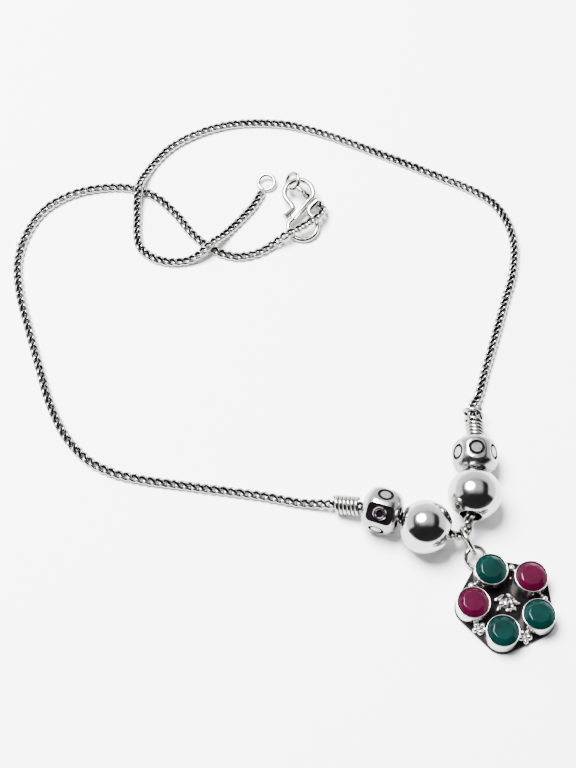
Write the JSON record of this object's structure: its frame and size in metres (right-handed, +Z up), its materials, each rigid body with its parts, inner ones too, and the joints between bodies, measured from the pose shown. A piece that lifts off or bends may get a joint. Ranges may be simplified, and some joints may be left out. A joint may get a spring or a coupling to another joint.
{
  "type": "gemstone necklace",
  "caption": "Silver necklace laid open: curb chain, polished balls, six-sided beads, wire coils, flower pendant of bezel-set stones, end rings and an S-hook.",
  "frame": {"origin": "on the table, under the middle of the necklace's outline", "axes": "+Z up from the table; +Y across the neck opening, from the pendant's side to the clasp; +X to the viewer's right"},
  "size_m": [0.1034, 0.1189, 0.01],
  "materials": {
    "silver": "polished sterling silver",
    "dark_silver": "silver links with blackened hollows",
    "setting_silver": "silver with a blackened floor and bright rims",
    "green_stone": "deep green, faceted and polished",
    "red_stone": "deep purplish red, faceted and polished"
  },
  "bodies": {
    "root": {"chain_left": "dark_silver", "chain_right": "dark_silver", "ball_left": "silver", "ball_right": "silver", "facet_bead_left": "silver", "facet_bead_right": "silver", "coil_left": "silver", "coil_right": "silver", "end_ring_left": "silver", "end_ring_right": "silver", "jump_ring": "silver", "s_hook": "silver", "pendant_setting": "setting_silver", "stone_green_top": "green_stone", "stone_red_right": "red_stone", "stone_green_right": "green_stone", "stone_green_bottom": "green_stone", "stone_red_left": "red_stone"}
  },
  "joints": []
}
